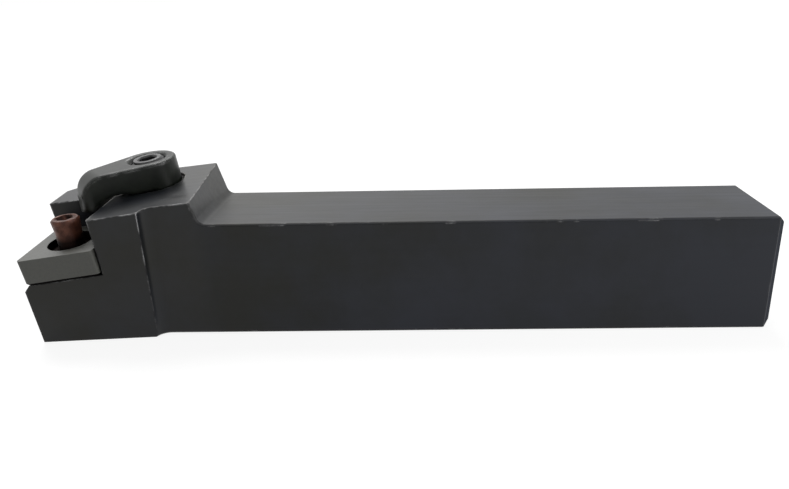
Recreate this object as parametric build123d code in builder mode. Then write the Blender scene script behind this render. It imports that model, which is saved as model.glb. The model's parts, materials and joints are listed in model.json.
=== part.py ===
from build123d import *
import math
import os

# Turning tool holder: a square shank with a tilted insert pocket, a shim, a lock pin and a top clamp.
# Millimetres. +X runs to the shank's tail, -Y is the cutting side and +Z is up.
# The origin lies on the base, on the shank's centre line, half way along the tool.

# Tool
tool_length = 127.4  # from the cutting corner to the tail: 125 nominal, tolerance +2.5 / 0
shank_height = 20.0
shank_width = 20.0
cutting_height = 20.0  # from the base to the cutting corner
cutting_offset = 25.0  # from the back of the shank to the cutting corner
lead_relief = 5.0  # degrees between each free edge of the insert and the tool's axes
seat_tilt = 6.0  # degrees, towards the tip and towards the cutting side
tail_chamfer = 1.2
edge_break = 0.3

# Insert that the pocket is made for: an 80 degree rhomb, not part of the tool
insert_circle = 12.7
insert_thickness = 4.76
insert_angle = 80.0

# Head
head_above_insert = 0.2
rear_draft = 17.0  # degrees from the vertical
rear_fillet = 1.5
head_length = 30.45  # from the cutting corner to the foot of the rear face, at the shank's top
side_setback = 1.25  # from the cutting corner to the head's near side, at the cutting height
side_relief = 1.5
front_stand = 0.5  # of the head's front face beyond the insert's front edge, at the seat
front_relief = 6.5
seat_front_chamfer = 1.0
wall_setback = 0.75  # of the back wall's front end behind the insert's front edge
wall_chamfer = 0.2
back_corner_cut = 9.8  # from the cutting corner, along the tool
back_corner_angle = 39.0  # degrees from the tool's axis
runout_radius = 2.1
runout_start = 23.2  # from the cutting corner to where the shank's side begins
pocket_corner_radius = 1.0

# Shim
shim_circle = 12.3
shim_thickness = 4.76
shim_corner_radius = 0.55
shim_bottom_chamfer = 0.5
shim_sink_radius = 3.85
shim_sink_depth = 2.3

# Lock pin: it leans less than the seat, so that it draws the insert into the pocket's corner
pin_tilt = 3.0  # degrees, towards the tip and towards the cutting side
pin_thread_radius = 3.0
pin_neck_radius = 2.15
pin_head_radius = 2.35
pin_head_height = 4.2  # above the shim
pin_head_taper = 2.0
pin_length = 18.5
pin_end_chamfer = 0.3
pin_socket = 2.5
pin_socket_depth = 2.6
collar_height = 0.8

# Clamp
clamp_bearing = 39.0  # degrees between the clamp and the tool's axis
clamp_screw_back = 18.95  # from the cutting corner to the clamp screw's foot, along the tool
clamp_screw_side = 18.0  # the same, across the tool
heel_radius = 4.9
heel_height = 4.4
nose_reach = 13.3
nose_lean = 0.4  # of the nose's foot beyond its bend
nose_radius = 2.7
nose_height = 4.8
nose_draw = 0.8  # of the nose below the insert's top while no insert holds it up
nose_bend = 3.9
nose_pad = 1.5
arch_height = 0.8
arch_spring = 0.2
heel_recess_gap = 0.6
heel_recess_depth = 0.8

# Clamp screw
screw_radius = 3.0
screw_length = 21.0
screw_above_top = 0.2
screw_end_chamfer = 0.4
screw_neck_radius = 2.4
screw_neck_length = 1.5
screw_socket = 3.0
screw_socket_depth = 3.2
screw_hole_spare = 1.5
bore_chamfer = 0.4

running_gap = 0.05
stock_height = 1.5 * shank_height  # of the blocks and cuts that are trimmed later
stock_length = 1.5 * head_length

# Datums
tip_x = -tool_length / 2
tail_x = tool_length / 2
back_y = shank_width / 2
near_y = -shank_width / 2
tip_y = back_y - cutting_offset
tilt = math.tan(math.radians(seat_tilt))
up = Vector(-tilt, -tilt, 1)
half_angle = math.radians(insert_angle / 2)

# Planes of the tilted pocket: local x runs to the tail, local z leaves the seat.
cutting_plane = Plane(origin=(tip_x, tip_y, cutting_height), x_dir=(1, 0, tilt), z_dir=up)
centre_reach = insert_circle / 2 / math.sin(half_angle) * math.cos(math.radians(45))
insert_centre = cutting_plane.from_local_coords((centre_reach, centre_reach, 0))
insert_top = Plane(origin=insert_centre, x_dir=(1, 0, tilt), z_dir=up)
shim_top = insert_top.offset(-insert_thickness)
seat = shim_top.offset(-shim_thickness)
head_top = insert_top.offset(head_above_insert)

# Planes of the lock pin, whose axis passes through the middle of the insert; origin on the shim's top.
pin_lean = math.tan(math.radians(pin_tilt))
pin_up = Vector(-pin_lean, -pin_lean, 1).normalized()
pin_foot = insert_centre - cutting_plane.z_dir * insert_thickness / 2 - pin_up * insert_thickness / 2
pin_plane = Plane(origin=pin_foot, x_dir=(1, 0, pin_lean), z_dir=pin_up)
pin_side = Plane(origin=pin_foot, x_dir=pin_plane.x_dir, z_dir=-pin_plane.y_dir)
pin_axis = Axis(pin_foot, pin_up)


def rhomb(circle):
    """Corners of an 80 degree rhomb round its inscribed circle, from the tip anticlockwise."""
    acute = circle / 2 / math.sin(half_angle)
    obtuse = circle / 2 / math.cos(half_angle)
    reaches = [(acute, 225), (obtuse, 315), (acute, 45), (obtuse, 135)]
    return [(r * math.cos(math.radians(a)), r * math.sin(math.radians(a))) for r, a in reaches]


def on_head_top(x, y):
    """Height of the head's top over a point of the base."""
    return head_top.origin.Z + tilt * (x - head_top.origin.X) + tilt * (y - head_top.origin.Y)


# The clamp's plane: origin where the screw's axis meets the head's top, local x runs to the nose.
foot_x = tip_x + clamp_screw_back
foot_y = tip_y + clamp_screw_side
nose_x = -math.cos(math.radians(clamp_bearing))
nose_y = -math.sin(math.radians(clamp_bearing))
clamp_plan = Plane(
    origin=(foot_x, foot_y, on_head_top(foot_x, foot_y)),
    x_dir=(nose_x, nose_y, tilt * (nose_x + nose_y)),
    z_dir=up,
)
screw_top = heel_height + screw_above_top
clamp_side = Plane(origin=clamp_plan.origin, x_dir=clamp_plan.x_dir, z_dir=-clamp_plan.y_dir)

# Faces of the head, each with its normal outwards.
lean = math.radians(lead_relief)
side_lean = math.radians(side_relief)
front_lean = math.radians(front_relief)
draft = math.radians(rear_draft)
near_face = Plane(
    origin=(tip_x, tip_y + side_setback, cutting_height),
    z_dir=(math.sin(lean) * math.cos(side_lean), -math.cos(lean) * math.cos(side_lean), -math.sin(side_lean)),
)
tip_corner, side_corner, inner_corner, front_corner = rhomb(insert_circle)
front_face = Plane(
    origin=seat.from_local_coords((tip_corner[0] - front_stand, tip_corner[1], 0)),
    z_dir=(-math.cos(lean) * math.cos(front_lean), math.sin(lean) * math.cos(front_lean), -math.sin(front_lean)),
)
rear_face = Plane(
    origin=(tip_x + head_length, 0, shank_height),
    z_dir=(math.cos(draft), 0, math.sin(draft)),
)

# Holder: the head's block is cut to its faces, then the shank joins it.
runout_x = tip_x + runout_start
with BuildPart() as holder:
    with BuildSketch():
        with BuildLine():
            Polyline(
                (tip_x + back_corner_cut - cutting_offset / math.tan(math.radians(back_corner_angle)), tip_y),
                (tip_x + stock_length, tip_y),
                (tip_x + stock_length, back_y),
                (tip_x + back_corner_cut, back_y),
                close=True,
            )
        make_face()
    extrude(amount=stock_height)
    for face in (head_top, near_face, front_face, rear_face):
        split(bisect_by=face, keep=Keep.BOTTOM)
    # Run-out of the cutter that trued the head's near side
    with BuildSketch():
        with Locations((runout_x, near_y - runout_radius)):
            Circle(runout_radius)
            Rectangle(head_length, 2 * runout_radius, align=(Align.MIN, Align.CENTER))
    extrude(amount=stock_height, mode=Mode.SUBTRACT)
    # Shank
    with BuildSketch(Plane.YZ.offset(runout_x)):
        Rectangle(shank_width, shank_height, align=(Align.CENTER, Align.MIN))
    extrude(amount=tail_x - runout_x)
    heel_line = holder.edges().filter_by(Axis.Y).filter_by_position(
        Axis.Z, shank_height - edge_break, shank_height + edge_break
    ).sort_by(Axis.X)[0]
    fillet(heel_line, rear_fillet)
    chamfer(holder.faces().sort_by(Axis.X)[-1].edges(), tail_chamfer)
    chamfer(holder.edges().filter_by(Axis.X).filter_by(lambda line: line.length > tool_length / 2), edge_break)
    # Insert pocket with its relieved inner corner; its back wall ends short of the insert's front edge
    along = Vector(math.cos(lean), math.sin(lean)) * cutting_offset
    across = Vector(math.sin(lean), math.cos(lean)) * cutting_offset
    wall_end = Vector(*tip_corner) + Vector(math.cos(lean), -math.sin(lean)) * wall_setback
    with BuildSketch(seat):
        Polygon(
            inner_corner,
            (inner_corner[0] - along.X, inner_corner[1] - along.Y),
            (inner_corner[0] - along.X - across.X, inner_corner[1] - along.Y - across.Y),
            (inner_corner[0] - across.X, inner_corner[1] - across.Y),
            align=None,
        )
        with Locations(inner_corner):
            Circle(pocket_corner_radius)
        with Locations(wall_end):
            Rectangle(cutting_offset, 2 * cutting_offset, rotation=-lead_relief, align=(Align.MAX, Align.CENTER))
    extrude(amount=shank_height, mode=Mode.SUBTRACT)
    # Broken edges in front of the seat and at the near end of the pocket's rear wall
    seat_front = seat.from_local_coords(((tip_corner[0] + front_corner[0]) / 2 - front_stand, 0))
    chamfer(holder.edges().filter_by(GeomType.LINE).sort_by_distance(seat_front)[0], seat_front_chamfer)
    wall_near = shim_top.from_local_coords((side_corner[0], side_corner[1] + side_setback))
    chamfer(holder.edges().filter_by(GeomType.LINE).sort_by_distance(wall_near)[0], wall_chamfer)
    # Pin hole, tapped right through to the base
    with BuildSketch(pin_plane):
        Circle(pin_thread_radius + running_gap)
    extrude(amount=-stock_height, mode=Mode.SUBTRACT)
    # Round recess for the clamp's heel, and the clamp screw's blind hole
    with BuildSketch(clamp_plan):
        Circle(heel_radius + heel_recess_gap)
    extrude(amount=-heel_recess_depth, mode=Mode.SUBTRACT)
    with BuildSketch(clamp_plan):
        Circle(screw_radius + running_gap)
    extrude(amount=-(screw_length - screw_top + screw_hole_spare), mode=Mode.SUBTRACT)
holder.part.label = "holder"

# Shim: rhombic carbide seat with a countersunk hole, chamfered underneath.
with BuildPart() as shim:
    with BuildSketch(seat):
        Polygon(*rhomb(shim_circle), align=None)
        fillet(vertices(), shim_corner_radius)
    extrude(amount=shim_thickness)
    under = shim.faces().sort_by(Axis(seat.origin, seat.z_dir))[0]
    chamfer(under.edges(), shim_bottom_chamfer)
    sink_step = shim_sink_radius - pin_thread_radius - running_gap
    with BuildSketch(pin_side):
        with BuildLine():
            Polyline(
                (0, shim_thickness),
                (shim_sink_radius, shim_thickness),
                (shim_sink_radius, -shim_sink_depth + sink_step),
                (shim_sink_radius - sink_step, -shim_sink_depth),
                (shim_sink_radius - sink_step, -2 * shim_thickness),
                (0, -2 * shim_thickness),
                close=True,
            )
        make_face()
    revolve(axis=pin_axis, mode=Mode.SUBTRACT)
shim.part.label = "shim"

# Lock pin: threaded shank, collar on the countersink, necked head with a hex socket.
collar_radius = shim_sink_radius - running_gap
collar_foot = -shim_sink_depth + running_gap
with BuildPart() as lock_pin:
    with BuildSketch(pin_side):
        with BuildLine():
            Polyline(
                (0, pin_head_height - pin_length),
                (pin_thread_radius - pin_end_chamfer, pin_head_height - pin_length),
                (pin_thread_radius, pin_head_height - pin_length + pin_end_chamfer),
                (pin_thread_radius, collar_foot),
                (collar_radius, collar_foot + collar_radius - pin_thread_radius),
                (collar_radius, collar_foot + collar_height),
                (pin_neck_radius, collar_foot + collar_height + pin_end_chamfer),
                (pin_neck_radius, pin_head_height - pin_end_chamfer - pin_head_taper),
                (pin_head_radius, pin_head_height - pin_end_chamfer),
                (pin_head_radius - pin_end_chamfer, pin_head_height),
                (0, pin_head_height),
                close=True,
            )
        make_face()
    revolve(axis=pin_axis)
    with BuildSketch(pin_plane.offset(pin_head_height)):
        RegularPolygon(pin_socket / 2, 6, major_radius=False)
    extrude(amount=-pin_socket_depth, mode=Mode.SUBTRACT)
lock_pin.part.label = "lock_pin"

# Clamp: a side profile cut to a tapered plan, bored for the screw.
with BuildPart() as clamp:
    with BuildSketch(clamp_side):
        with BuildLine():
            front_x = nose_reach - nose_lean
            bend_x = front_x - nose_bend
            bend_z = nose_height - nose_bend
            nose_foot = -head_above_insert - nose_draw
            Polyline(
                (front_x, bend_z),
                (nose_reach, nose_foot),
                (nose_reach - nose_pad, nose_foot),
            )
            ThreePointArc(
                (nose_reach - nose_pad, nose_foot),
                ((nose_reach - nose_pad + heel_radius) / 2, arch_height),
                (heel_radius, arch_spring),
            )
            Polyline(
                (heel_radius, arch_spring),
                (-heel_radius, arch_spring),
                (-heel_radius, heel_height),
                (bend_x, nose_height),
            )
            TangentArc((bend_x, nose_height), (front_x, bend_z), tangent=(1, 0))
        make_face()
    extrude(amount=heel_radius, both=True)
    with BuildSketch(clamp_plan.offset(nose_foot)):
        Circle(heel_radius)
        with Locations((nose_reach - nose_radius, 0)):
            Circle(nose_radius)
        make_hull()
    extrude(amount=nose_height - nose_foot, mode=Mode.INTERSECT)
    # Round heel, standing in the recess of the head
    with BuildSketch(clamp_plan.offset(-heel_recess_depth)):
        Circle(heel_radius)
    extrude(amount=heel_recess_depth + arch_height)
    # Bore with a flared mouth
    bore_radius = screw_radius + running_gap
    with BuildSketch(clamp_side):
        with BuildLine():
            Polyline(
                (0, -heel_recess_depth),
                (bore_radius, -heel_recess_depth),
                (bore_radius, heel_height - bore_chamfer),
                (bore_radius + nose_height, heel_height - bore_chamfer + nose_height),
                (0, heel_height - bore_chamfer + nose_height),
                close=True,
            )
        make_face()
    revolve(axis=Axis(clamp_plan.origin, clamp_plan.z_dir), mode=Mode.SUBTRACT)
clamp.part.label = "clamp"

# Clamp screw: double ended, right-hand below and left-hand above a short neck.
screw_mid = screw_top - screw_length / 2
with BuildPart() as clamp_screw:
    with BuildSketch(clamp_side):
        with BuildLine():
            Polyline(
                (0, screw_top - screw_length),
                (screw_radius - screw_end_chamfer, screw_top - screw_length),
                (screw_radius, screw_top - screw_length + screw_end_chamfer),
                (screw_radius, screw_mid - screw_neck_length / 2),
                (screw_neck_radius, screw_mid - screw_neck_length / 2),
                (screw_neck_radius, screw_mid + screw_neck_length / 2),
                (screw_radius, screw_mid + screw_neck_length / 2),
                (screw_radius, screw_top - screw_end_chamfer),
                (screw_radius - screw_end_chamfer, screw_top),
                (0, screw_top),
                close=True,
            )
        make_face()
    revolve(axis=Axis(clamp_plan.origin, clamp_plan.z_dir))
    with BuildSketch(clamp_plan.offset(screw_top)):
        RegularPolygon(screw_socket / 2, 6, major_radius=False)
    extrude(amount=-screw_socket_depth, mode=Mode.SUBTRACT)
clamp_screw.part.label = "clamp_screw"

os.makedirs("parts", exist_ok=True)
for piece in (holder, shim, lock_pin, clamp, clamp_screw):
    export_step(piece.part, f"parts/{piece.part.label}.step")
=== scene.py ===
import json
import math

import bpy
import bmesh
from mathutils import Matrix, Vector


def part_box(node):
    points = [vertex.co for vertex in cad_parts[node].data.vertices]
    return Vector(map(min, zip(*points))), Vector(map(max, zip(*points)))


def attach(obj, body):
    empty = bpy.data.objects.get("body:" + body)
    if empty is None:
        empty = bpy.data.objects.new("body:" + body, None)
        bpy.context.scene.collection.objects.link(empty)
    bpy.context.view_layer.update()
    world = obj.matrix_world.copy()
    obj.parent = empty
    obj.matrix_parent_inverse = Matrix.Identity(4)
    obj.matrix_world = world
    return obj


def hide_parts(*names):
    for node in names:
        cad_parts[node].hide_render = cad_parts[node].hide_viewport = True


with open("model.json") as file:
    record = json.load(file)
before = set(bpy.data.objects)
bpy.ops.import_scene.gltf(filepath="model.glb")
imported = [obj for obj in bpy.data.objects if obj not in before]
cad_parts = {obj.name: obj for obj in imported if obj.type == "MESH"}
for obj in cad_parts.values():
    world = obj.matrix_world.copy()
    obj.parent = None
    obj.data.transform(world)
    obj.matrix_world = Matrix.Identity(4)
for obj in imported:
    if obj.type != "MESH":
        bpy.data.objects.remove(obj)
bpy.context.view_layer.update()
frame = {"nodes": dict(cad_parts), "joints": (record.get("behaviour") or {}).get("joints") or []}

# Holder: the forged steel body, square shank and milled head in one piece, sawn off at its
# tail. It is hardened, ground and blackened in a hot salt bath, which leaves a thin, slightly
# blue oxide skin that has rubbed through to bright metal along its edges.
holder = frame["nodes"]["holder"]


def new_material(name):
    """An empty principled material, with its tree, its shader and an Object-coordinate socket."""
    material = bpy.data.materials.new(name)
    material.use_nodes = True
    tree = material.node_tree
    shader = tree.nodes["Principled BSDF"]
    place = tree.nodes.new("ShaderNodeTexCoord").outputs["Object"]
    return material, tree, shader, place


def feed(tree, value, socket):
    """Sets a socket to a level or a colour, or links it to the socket that its value comes from."""
    if isinstance(value, bpy.types.NodeSocket):
        tree.links.new(value, socket)
    elif isinstance(value, tuple):
        socket.default_value = (*value, 1)
    else:
        socket.default_value = value


def noise(tree, place, scale, detail, stretch=(1, 1, 1)):
    """Noise on Object coordinates, stretched along the tool's axes."""
    mapping = tree.nodes.new("ShaderNodeMapping")
    mapping.inputs["Scale"].default_value = stretch
    tree.links.new(place, mapping.inputs["Vector"])
    texture = tree.nodes.new("ShaderNodeTexNoise")
    texture.inputs["Scale"].default_value = scale
    texture.inputs["Detail"].default_value = detail
    texture.inputs["Roughness"].default_value = 0.6
    tree.links.new(mapping.outputs["Vector"], texture.inputs["Vector"])
    return texture.outputs["Fac"]


def ramp(tree, value, low, high, low_at, high_at):
    """A value spread from low to high between two levels of another."""
    spread = tree.nodes.new("ShaderNodeMapRange")
    spread.inputs["From Min"].default_value = low_at
    spread.inputs["From Max"].default_value = high_at
    spread.inputs["To Min"].default_value = low
    spread.inputs["To Max"].default_value = high
    tree.links.new(value, spread.inputs["Value"])
    return spread.outputs["Result"]


def combined(tree, operation, first, second):
    """Two levels taken together by one operation."""
    taken = tree.nodes.new("ShaderNodeMath")
    taken.operation = operation
    feed(tree, first, taken.inputs[0])
    feed(tree, second, taken.inputs[1])
    return taken.outputs[0]


def between(tree, value, low, high):
    """A level that passes from one to another by a value."""
    mix = tree.nodes.new("ShaderNodeMix")
    for socket, level in ((0, value), (2, low), (3, high)):
        feed(tree, level, mix.inputs[socket])
    return mix.outputs[0]


def colours(tree, value, low, high):
    """A blend of two colours by a value."""
    mix = tree.nodes.new("ShaderNodeMix")
    mix.data_type = "RGBA"
    for socket, colour in ((0, value), (6, low), (7, high)):
        feed(tree, colour, mix.inputs[socket])
    return mix.outputs[2]


def bump(tree, shader, height, strength, distance, under):
    """Relief from a height, laid over another normal."""
    relief = tree.nodes.new("ShaderNodeBump")
    relief.inputs["Strength"].default_value = strength
    relief.inputs["Distance"].default_value = distance
    tree.links.new(height, relief.inputs["Height"])
    tree.links.new(under, relief.inputs["Normal"])
    tree.links.new(relief.outputs["Normal"], shader.inputs["Normal"])


def worn_edges(tree, place, radius, level):
    """How far the edges have rubbed bright, the rounded normal, and the edges by themselves."""
    rounded = tree.nodes.new("ShaderNodeBevel")
    rounded.samples = 6
    rounded.inputs["Radius"].default_value = radius
    own = tree.nodes.new("ShaderNodeNewGeometry")
    agreement = tree.nodes.new("ShaderNodeVectorMath")
    agreement.operation = "DOT_PRODUCT"
    tree.links.new(rounded.outputs["Normal"], agreement.inputs[0])
    tree.links.new(own.outputs["Normal"], agreement.inputs[1])
    # The rounded normal leaves the face's own as a point nears an edge.
    on_edge = 0.78
    off_edge = 0.995
    edge = ramp(tree, agreement.outputs["Value"], 1.0, 0.0, on_edge, off_edge)
    patches = ramp(tree, noise(tree, place, 520, 4), 0.05, 1.0, 0.42, 0.60)
    worn = combined(tree, "MULTIPLY", combined(tree, "MULTIPLY", edge, patches), level)
    return worn, rounded.outputs["Normal"], edge


milled_until = -0.0350
ground_from = -0.0320
tail_chamfer = 0.0010
saw_border = 0.0001
handled_from = 0.007
handled_above = 0.018
blackened, tree, shader, place = new_material("blackened_steel")
along = tree.nodes.new("ShaderNodeSeparateXYZ")
tree.links.new(place, along.inputs["Vector"])
milled = ramp(tree, along.outputs["X"], 1.0, 0.0, milled_until, ground_from)
tail_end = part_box("holder")[1][0] - tail_chamfer
sawn = ramp(tree, along.outputs["X"], 0.0, 1.0, tail_end - saw_border, tail_end + saw_border)
nicks = ramp(tree, noise(tree, place, 240, 3), 0.0, 0.9, 0.56, 0.64)
handled = ramp(tree, along.outputs["Z"], 0.15, 0.75, handled_from, handled_above)
holder_wear = 0.00045
worn, rounded, edge = worn_edges(tree, place, holder_wear, between(tree, milled, nicks, handled))
mottle = ramp(tree, noise(tree, place, 24, 6), 0.0, 1.0, 0.38, 0.62)
skin = colours(tree, mottle, (0.006, 0.007, 0.007), (0.018, 0.021, 0.030))
# Painted shade: edges that are not rubbed bright are darkened to near-black metal, standing in for the
# shade along the edges and in the gaps between parts.
skin = colours(tree, edge, skin, (0.008, 0.008, 0.009))
feed(tree, colours(tree, worn, skin, (0.50, 0.50, 0.51)), shader.inputs["Base Color"])
feed(tree, edge, shader.inputs["Metallic"])
grind = noise(tree, place, 900, 3, stretch=(0.06, 1, 1))
ground_finish = ramp(tree, grind, 0.46, 0.51, 0.35, 0.65)
milled_finish = ramp(tree, grind, 0.28, 0.34, 0.35, 0.65)
finish = between(tree, milled, ground_finish, milled_finish)
feed(tree, between(tree, sawn, finish, 1.0), shader.inputs["Roughness"])
shader.inputs["IOR"].default_value = 1.36
shader.inputs["Specular Tint"].default_value = (1.0, 0.97, 0.90, 1)
bump(tree, shader, grind, strength=0.02, distance=0.00002, under=rounded)
holder.data.materials.clear()
holder.data.materials.append(blackened)

# Shim: a sintered carbide plate, ground on its top and its sides and left bare, a fine
# even grey. Its hole and its downward faces are painted near black, as painted shade
# in the hole and under the plate's bottom edge.
shim = frame["nodes"]["shim"]
shim_hole_radius = 0.00388
shim_hole_border = 0.00005
pin_joint = next(j for j in frame["joints"] if j["name"] == "lock_pin_turn")


def axis_place(joint):
    """The matrix that puts a piece made along +Z on a joint's axis."""
    axis = Vector(joint["axis"]).normalized()
    turn = Vector((0, 0, 1)).rotation_difference(axis).to_matrix().to_4x4()
    return Matrix.Translation(Vector(joint["pos_m"])) @ turn


def from_axis(tree, place, axis_matrix):
    """How far a point lies from an axis, and how high along it."""
    back = axis_matrix.inverted()
    turned = tree.nodes.new("ShaderNodeMapping")
    turned.inputs["Location"].default_value = back.translation
    turned.inputs["Rotation"].default_value = back.to_euler()
    tree.links.new(place, turned.inputs["Vector"])
    parts = tree.nodes.new("ShaderNodeSeparateXYZ")
    tree.links.new(turned.outputs["Vector"], parts.inputs["Vector"])
    flat = tree.nodes.new("ShaderNodeCombineXYZ")
    tree.links.new(parts.outputs["X"], flat.inputs["X"])
    tree.links.new(parts.outputs["Y"], flat.inputs["Y"])
    radius = tree.nodes.new("ShaderNodeVectorMath")
    radius.operation = "LENGTH"
    tree.links.new(flat.outputs["Vector"], radius.inputs[0])
    return radius.outputs["Value"], parts.outputs["Z"]


carbide, tree, shader, place = new_material("ground_carbide")
shim_wear = 0.00015
worn, rounded, _ = worn_edges(tree, place, shim_wear, 0.25)
grain = noise(tree, place, 2500, 4)
speckle = ramp(tree, grain, 0.0, 1.0, 0.35, 0.65)
base = colours(tree, speckle, (0.056, 0.057, 0.050), (0.074, 0.075, 0.066))
radius, _ = from_axis(tree, place, axis_place(pin_joint))
hole_shade = ramp(tree, radius, 1.0, 0.0, shim_hole_radius, shim_hole_radius + shim_hole_border)
facing = tree.nodes.new("ShaderNodeSeparateXYZ")
own = tree.nodes.new("ShaderNodeNewGeometry")
tree.links.new(own.outputs["True Normal"], facing.inputs["Vector"])
facing_down = -0.5
facing_level = -0.3
underside_shade = ramp(tree, facing.outputs["Z"], 1.0, 0.0, facing_down, facing_level)
painted_shade = combined(tree, "MAXIMUM", hole_shade, underside_shade)
# Painted shade: the hole's wall and the faces turned downwards are near-black metal.
feed(tree, colours(tree, painted_shade, base, (0.004, 0.003, 0.003)), shader.inputs["Base Color"])
feed(tree, painted_shade, shader.inputs["Metallic"])
ground_finish = ramp(tree, grain, 0.42, 0.58, 0.35, 0.65)
feed(tree, between(tree, painted_shade, ground_finish, 0.9), shader.inputs["Roughness"])
bump(tree, shader, grain, strength=0.12, distance=0.00001, under=rounded)
shim.data.materials.clear()
shim.data.materials.append(carbide)

# Lock pin: turned alloy steel, hardened and drawn to a brown temper colour. It is screwed
# into the holder through the shim, with a hexagon socket in its head and a rolled thread.
pin_thread_pitch = 0.0010
pin_thread_radius = 0.0030
pin_undercut = 0.0004  # of the plain stretch between the collar and the thread
merge_distance = 1e-6


def solid_copy(node, place):
    """A merged copy of a CAD node's mesh, brought back to the axis that it was made on."""
    copy = bmesh.new()
    copy.from_mesh(node.data)
    bmesh.ops.remove_doubles(copy, verts=copy.verts, dist=merge_distance)
    bmesh.ops.transform(copy, matrix=place.inverted(), verts=copy.verts)
    return copy


def cut(copy, height, keep_above):
    """Cuts a mesh square to its axis, and returns the edges of the cut."""
    cut_edges = bmesh.ops.bisect_plane(
        copy,
        geom=copy.verts[:] + copy.edges[:] + copy.faces[:],
        dist=1e-7,
        plane_co=(0, 0, height),
        plane_no=(0, 0, 1),
        clear_inner=keep_above,
        clear_outer=not keep_above,
    )["geom_cut"]
    return [edge for edge in cut_edges if isinstance(edge, bmesh.types.BMEdge)]


def close(copy, rim):
    """Fills the opening inside a rim of edges."""
    bmesh.ops.triangle_fill(copy, use_beauty=True, edges=rim)


def faced(copy, line, other):
    """Makes the faces between two lines of corners that lie side by side."""
    for corners in zip(line, line[1:], other[1:], other):
        copy.faces.new(corners)


def rolled_thread(radius, pitch, low, high, hand, lead_in):
    """A threaded rod along +Z: a tooth's outline led round a helix and cut square at both ends."""
    depth = 0.6 * pitch
    root = radius - depth
    # Root, rising flank, crest, falling flank and root, at parts of the pitch.
    outline = [(root, 0), (radius, 0.31), (radius, 0.44), (root, 0.75), (root, 1)]
    turns = math.ceil((high - low) / pitch) + 2
    steps_a_turn = 36
    # Made face by face, because bmesh's own spin orders its faces differently in each run.
    rod = bmesh.new()
    teeth = []
    for step in range(steps_a_turn * turns + 1):
        angle = hand * math.tau * step / steps_a_turn
        start = low + pitch * (step / steps_a_turn - 1)
        corners = [(x * math.cos(angle), x * math.sin(angle), start + z * pitch) for x, z in outline]
        teeth.append([rod.verts.new(corner) for corner in corners])
    for tooth, following in zip(teeth, teeth[1:]):
        faced(rod, tooth, following)
    bmesh.ops.remove_doubles(rod, verts=rod.verts, dist=merge_distance)
    foot = cut(rod, low, True)
    head = cut(rod, high, False)
    for corner in rod.verts:
        end = corner.co.z - low
        if lead_in == "both":
            end = min(end, high - corner.co.z)
        reach = radius - max(0, depth - end)
        if corner.co.xy.length > reach:
            corner.co.xy *= reach / corner.co.xy.length
    return rod, foot, head


def mesh_of(copy, name):
    """A mesh with what was built, which is freed."""
    mesh = bpy.data.meshes.new(name)
    copy.to_mesh(mesh)
    copy.free()
    return mesh


def added(name, data):
    """An object that carries some data, linked to the scene."""
    thing = bpy.data.objects.new(name, data)
    bpy.context.scene.collection.objects.link(thing)
    return thing


def finished(copy, name, place, material, body, node):
    """Puts a mesh on its axis, turns its faces outwards, hangs it on a body and hides the CAD node it
    stands for.
    """
    bmesh.ops.recalc_face_normals(copy, faces=copy.faces)
    bmesh.ops.transform(copy, matrix=place, verts=copy.verts)
    mesh = mesh_of(copy, name)
    mesh.shade_smooth()
    mesh.set_sharp_from_angle(angle=math.radians(28))
    mesh.materials.append(material)
    piece = added(name, mesh)
    flat = piece.modifiers.new("flat", "WEIGHTED_NORMAL")
    flat.keep_sharp = True
    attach(piece, body)
    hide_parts(node)


def heights(node, place):
    """Lowest and highest point of a CAD node along its axis."""
    back = place.inverted()
    levels = [(back @ corner.co).z for corner in node.data.vertices]
    return min(levels), max(levels)


pin_place = axis_place(pin_joint)
pin_foot, pin_top = heights(frame["nodes"]["lock_pin"], pin_place)
# Painted shade: the pin darkens to near black towards its foot, where it goes down into the hole, and
# inside its hexagon socket.
painted_shade_below = pin_top - 0.0038
painted_shade_clear_above = pin_top - 0.0024
socket_radius = 0.00125
socket_mouth_radius = 0.00150
rim_foot = pin_top - 0.0004
rim_top = pin_top - 0.0001
tempered, tree, shader, place = new_material("tempered_steel")
radius, height = from_axis(tree, place, pin_place)
above_painted_shade = ramp(tree, height, 0.0, 1.0, painted_shade_below, painted_shade_clear_above)
outside_socket_shade = ramp(tree, radius, 0.0, 1.0, socket_radius, socket_mouth_radius)
rim_face = ramp(tree, height, 0.0, 1.0, rim_foot, rim_top)
clear_of_painted_shade = combined(tree, "MULTIPLY", above_painted_shade, outside_socket_shade)
pin_wear = 0.00012
worn, rounded, _ = worn_edges(tree, place, pin_wear, between(tree, rim_face, 0.25, 1.0))
mottle = ramp(tree, noise(tree, place, 700, 6), 0.0, 1.0, 0.38, 0.62)
skin = colours(tree, mottle, (0.055, 0.019, 0.012), (0.130, 0.048, 0.029))
# Where the painted shade lies, the temper colour gives way to near black.
skin = colours(tree, clear_of_painted_shade, (0.010, 0.005, 0.004), skin)
feed(tree, colours(tree, worn, skin, (0.34, 0.27, 0.25)), shader.inputs["Base Color"])
feed(tree, between(tree, clear_of_painted_shade, 0.9, 0.25), shader.inputs["Metallic"])
shader.inputs["Specular IOR Level"].default_value = 0.3
feed(tree, ramp(tree, mottle, 0.52, 0.38, 0.0, 1.0), shader.inputs["Roughness"])
bump(tree, shader, noise(tree, place, 1500, 4), strength=0.15, distance=0.00001, under=rounded)

pin = solid_copy(frame["nodes"]["lock_pin"], pin_place)
# The collar's cone ends where the pin is as wide as its thread.
collar_foot = max(v.co.z for v in pin.verts if abs(v.co.xy.length - pin_thread_radius) < 1e-5)
thread_top = collar_foot - pin_undercut
close(pin, cut(pin, thread_top, True))
pin_rod, foot, head = rolled_thread(pin_thread_radius, pin_thread_pitch, pin_foot, thread_top, 1, "foot")
for rim in (foot, head):
    close(pin_rod, rim)
pin.from_mesh(mesh_of(pin_rod, "pin_rod"))
finished(pin, "lock_pin_threaded", pin_place, tempered, "lock_pin", "lock_pin")

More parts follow.
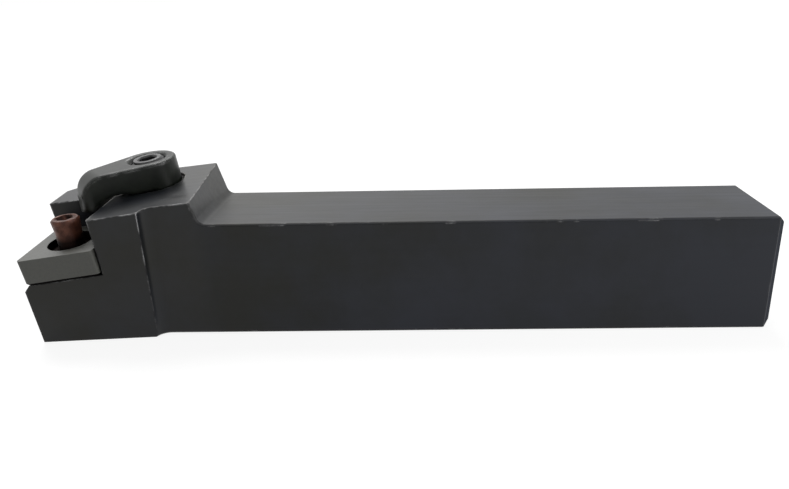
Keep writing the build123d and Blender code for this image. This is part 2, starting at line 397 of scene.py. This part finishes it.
# Clamp: a forged steel finger with a round heel, shot blasted and blackened, its rim
# rounded by the blasting. Its bore takes the left-hand end of the clamp screw.
clamp = frame["nodes"]["clamp"]
screw_joint = next(j for j in frame["joints"] if j["name"] == "clamp_screw_turn")
screw_place = axis_place(screw_joint)
_, clamp_top = heights(clamp, screw_place)
# The upper rim is rubbed bright, part real wear and part painted highlight, fading out lower down.
wear_and_highlight_from = clamp_top - 0.0032
wear_and_highlight_above = clamp_top - 0.0018
forged, tree, shader, place = new_material("forged_steel")
_, height = from_axis(tree, place, screw_place)
rim_wear_and_highlight = ramp(tree, height, 0.05, 0.8, wear_and_highlight_from, wear_and_highlight_above)
clamp_wear = 0.0009
worn, rounded, _ = worn_edges(tree, place, clamp_wear, rim_wear_and_highlight)
mottle = ramp(tree, noise(tree, place, 300, 6), 0.0, 1.0, 0.35, 0.65)
skin = colours(tree, mottle, (0.002, 0.003, 0.002), (0.008, 0.010, 0.007))
feed(tree, colours(tree, worn, skin, (0.50, 0.50, 0.50)), shader.inputs["Base Color"])
feed(tree, worn, shader.inputs["Metallic"])
shader.inputs["IOR"].default_value = 1.29
shader.inputs["Roughness"].default_value = 0.34
bump(tree, shader, noise(tree, place, 900, 5), strength=0.25, distance=0.00003, under=rounded)

rim_rounding = 0.00040
rim_turn = math.radians(40)
bore_clearance = 0.0045
finger_foot = -0.0007
upright = 0.05
finger = solid_copy(clamp, screw_place)
bmesh.ops.dissolve_limit(finger, angle_limit=0.01, verts=finger.verts, edges=finger.edges)
# The rim is where the upper faces meet the upright sides, clear of the bore and of the foot.
rim = [
    edge
    for edge in finger.edges
    if edge.calc_face_angle() > rim_turn
    and all(corner.co.xy.length > bore_clearance and corner.co.z > finger_foot for corner in edge.verts)
    and max(face.normal.z for face in edge.link_faces) > upright
    and any(abs(face.normal.z) < upright for face in edge.link_faces)
]
bmesh.ops.bevel(
    finger,
    geom=rim,
    offset=rim_rounding,
    offset_type="OFFSET",
    segments=4,
    profile=0.5,
    affect="EDGES",
    clamp_overlap=False,
    material=-1,
)
finished(finger, "clamp_forged", screw_place, forged, "clamp", "clamp")

# Clamp screw: a hardened, blackened double-ended screw, right-hand in the holder and
# left-hand in the clamp, with a plain neck between and a hexagon socket on top.
screw_black, tree, shader, place = new_material("blackened_screw")
screw_wear = 0.0002
worn, rounded, _ = worn_edges(tree, place, screw_wear, 0.8)
skin = colours(tree, worn, (0.012, 0.012, 0.013), (0.30, 0.30, 0.30))
feed(tree, skin, shader.inputs["Base Color"])
shader.inputs["Roughness"].default_value = 0.36
bump(tree, shader, noise(tree, place, 900, 3), strength=0.05, distance=0.00001, under=rounded)

screw_radius = 0.0030
screw_pitch = 0.0010
neck_radius = 0.0023
neck_length = 0.0015
neck_overlap = 0.0003
socket_width = 0.0030
socket_depth = 0.0032
socket_mouth = 0.00025
drill_point = 0.0005
screw_foot, screw_top = heights(frame["nodes"]["clamp_screw"], screw_place)
screw_mid = (screw_foot + screw_top) / 2
neck_foot = screw_mid - neck_length / 2
neck_top = screw_mid + neck_length / 2
lower, foot, head = rolled_thread(screw_radius, screw_pitch, screw_foot, neck_foot, 1, "both")
for rim in (foot, head):
    close(lower, rim)
upper, foot, head = rolled_thread(screw_radius, screw_pitch, neck_top, screw_top, -1, "both")
close(upper, foot)


def ring(copy, outline, level):
    """A closed line of new corners round an outline, at one height."""
    corners = [copy.verts.new((point.x, point.y, level)) for point in outline]
    return corners + corners[:1]


# Each flat of the hexagon is divided, so that its points match those of the round mouth.
flats = 6
points_a_flat = 4
socket_points = flats * points_a_flat
mouth_arm = Vector((0, 0.6 * socket_width, 0))
corner_arm = Vector((0, socket_width / math.sqrt(3), 0))
round_outline = [
    Matrix.Rotation(math.tau * n / socket_points, 3, "Z") @ mouth_arm for n in range(socket_points)
]
bends = [Matrix.Rotation(math.tau * n / flats, 3, "Z") @ corner_arm for n in range(flats + 1)]
hexagon = [
    bend.lerp(following, part / points_a_flat)
    for bend, following in zip(bends, bends[1:])
    for part in range(points_a_flat)
]
socket_foot = screw_top - socket_mouth - socket_depth
mouth = ring(upper, round_outline, screw_top)
wall_top = ring(upper, hexagon, screw_top - socket_mouth)
wall_foot = ring(upper, hexagon, socket_foot)
close(upper, head + [upper.edges.new(pair) for pair in zip(mouth, mouth[1:])])
faced(upper, mouth, wall_top)
faced(upper, wall_top, wall_foot)
drill_tip = upper.verts.new((0, 0, socket_foot - drill_point))
for pair in zip(wall_foot, wall_foot[1:]):
    upper.faces.new((*pair, drill_tip))
bmesh.ops.create_cone(
    lower,
    cap_ends=True,
    segments=36,
    radius1=neck_radius,
    radius2=neck_radius,
    depth=neck_length + 2 * neck_overlap,
    matrix=Matrix.Translation((0, 0, screw_mid)),
)
lower.from_mesh(mesh_of(upper, "screw_upper"))
finished(
    lower, "clamp_screw_threaded", screw_place, screw_black, "clamp_screw", "clamp_screw"
)

# Table: a plain white sheet under the tool, which keeps its shadow.
# Seen straight or in a reflection it is white, and its bounce on the tool is dimmer.
table_reach = 3
bounce_grey = (0.30, 0.30, 0.30)
seen_grey = (0.25, 0.25, 0.25)
seen_glow = 0.82


def seen(tree):
    """1 where a ray comes from the camera, a reflection or glass, and 0 where it only brings light."""
    path = tree.nodes.new("ShaderNodeLightPath")
    either = combined(tree, "MAXIMUM", path.outputs["Is Camera Ray"], path.outputs["Is Glossy Ray"])
    return combined(tree, "MAXIMUM", either, path.outputs["Is Transmission Ray"])


floor_grid = bmesh.new()
bmesh.ops.create_grid(floor_grid, x_segments=1, y_segments=1, size=table_reach)
floor = added("floor", mesh_of(floor_grid, "floor"))
sheet, tree, shader, _ = new_material("white_sheet")
sheet_seen = seen(tree)
feed(tree, colours(tree, sheet_seen, bounce_grey, seen_grey), shader.inputs["Base Color"])
feed(tree, ramp(tree, sheet_seen, 0.0, seen_glow, 0, 1), shader.inputs["Emission Strength"])
shader.inputs["Emission Color"].default_value = (1, 1, 1, 1)
shader.inputs["Roughness"].default_value = 1.0
shader.inputs["Specular IOR Level"].default_value = 0.0
floor.data.materials.append(sheet)

# Surroundings: a white tent of cloth that stands all round the tool.
# It is full white where it is seen or reflected, and a dimmer fill where it only lights.
tent_fill = 0.42
world = bpy.data.worlds.new("studio")
bpy.context.scene.world = world
world.use_nodes = True
tree = world.node_tree
tent = tree.nodes["Background"]
tent.inputs["Color"].default_value = (1, 1, 1, 1)
feed(tree, ramp(tree, seen(tree), tent_fill, 1.0, 0, 1), tent.inputs["Strength"])

# Lamps: one broad and soft, high behind the tool on the head's side, so that the near side
# lies in its own shade, and one narrow strip beyond the tail that lays a sheen on the top.
sun_heading = Vector((0.25, -0.62, -0.9))
sun = bpy.data.lights.new("sun", "SUN")
sun.energy = 2.5
sun.angle = math.radians(35)
sun_lamp = added("sun", sun)
sun_lamp.rotation_euler = sun_heading.to_track_quat("-Z", "Y").to_euler()

strip_aim = Vector((-0.045, 0, 0.02))
strip = bpy.data.lights.new("strip", "AREA")
strip.shape = "RECTANGLE"
strip.size = 0.10
strip.size_y = 0.45
strip.energy = 1.0
strip_lamp = added("strip", strip)
strip_lamp.location = (0.38, -0.10, 0.20)
strip_lamp.rotation_euler = (strip_aim - strip_lamp.location).to_track_quat("-Z", "Y").to_euler()

# Camera: close in and above the near side, turned a little towards the head.
# Its frame is shifted off its axis, so that it holds the whole tool.
camera_place = (0.007272, -0.124969, 0.057016)
camera_yaw = math.radians(-1.827)
camera_pitch = math.radians(21.23)
camera_roll = math.radians(-1.338)
camera_data = bpy.data.cameras.new("camera")
camera_data.sensor_width = 36
camera_data.lens = 33.34
camera_data.shift_x = -0.0327
camera_data.shift_y = 0.0262
camera_data.clip_start = 0.001
camera = added("camera", camera_data)
camera.matrix_world = (
    Matrix.Translation(camera_place)
    @ Matrix.Rotation(-camera_yaw, 4, "Z")
    @ Matrix.Rotation(math.pi / 2 - camera_pitch, 4, "X")
    @ Matrix.Rotation(camera_roll, 4, "Z")
)
bpy.context.scene.camera = camera
bpy.context.scene.view_settings.view_transform = "Standard"
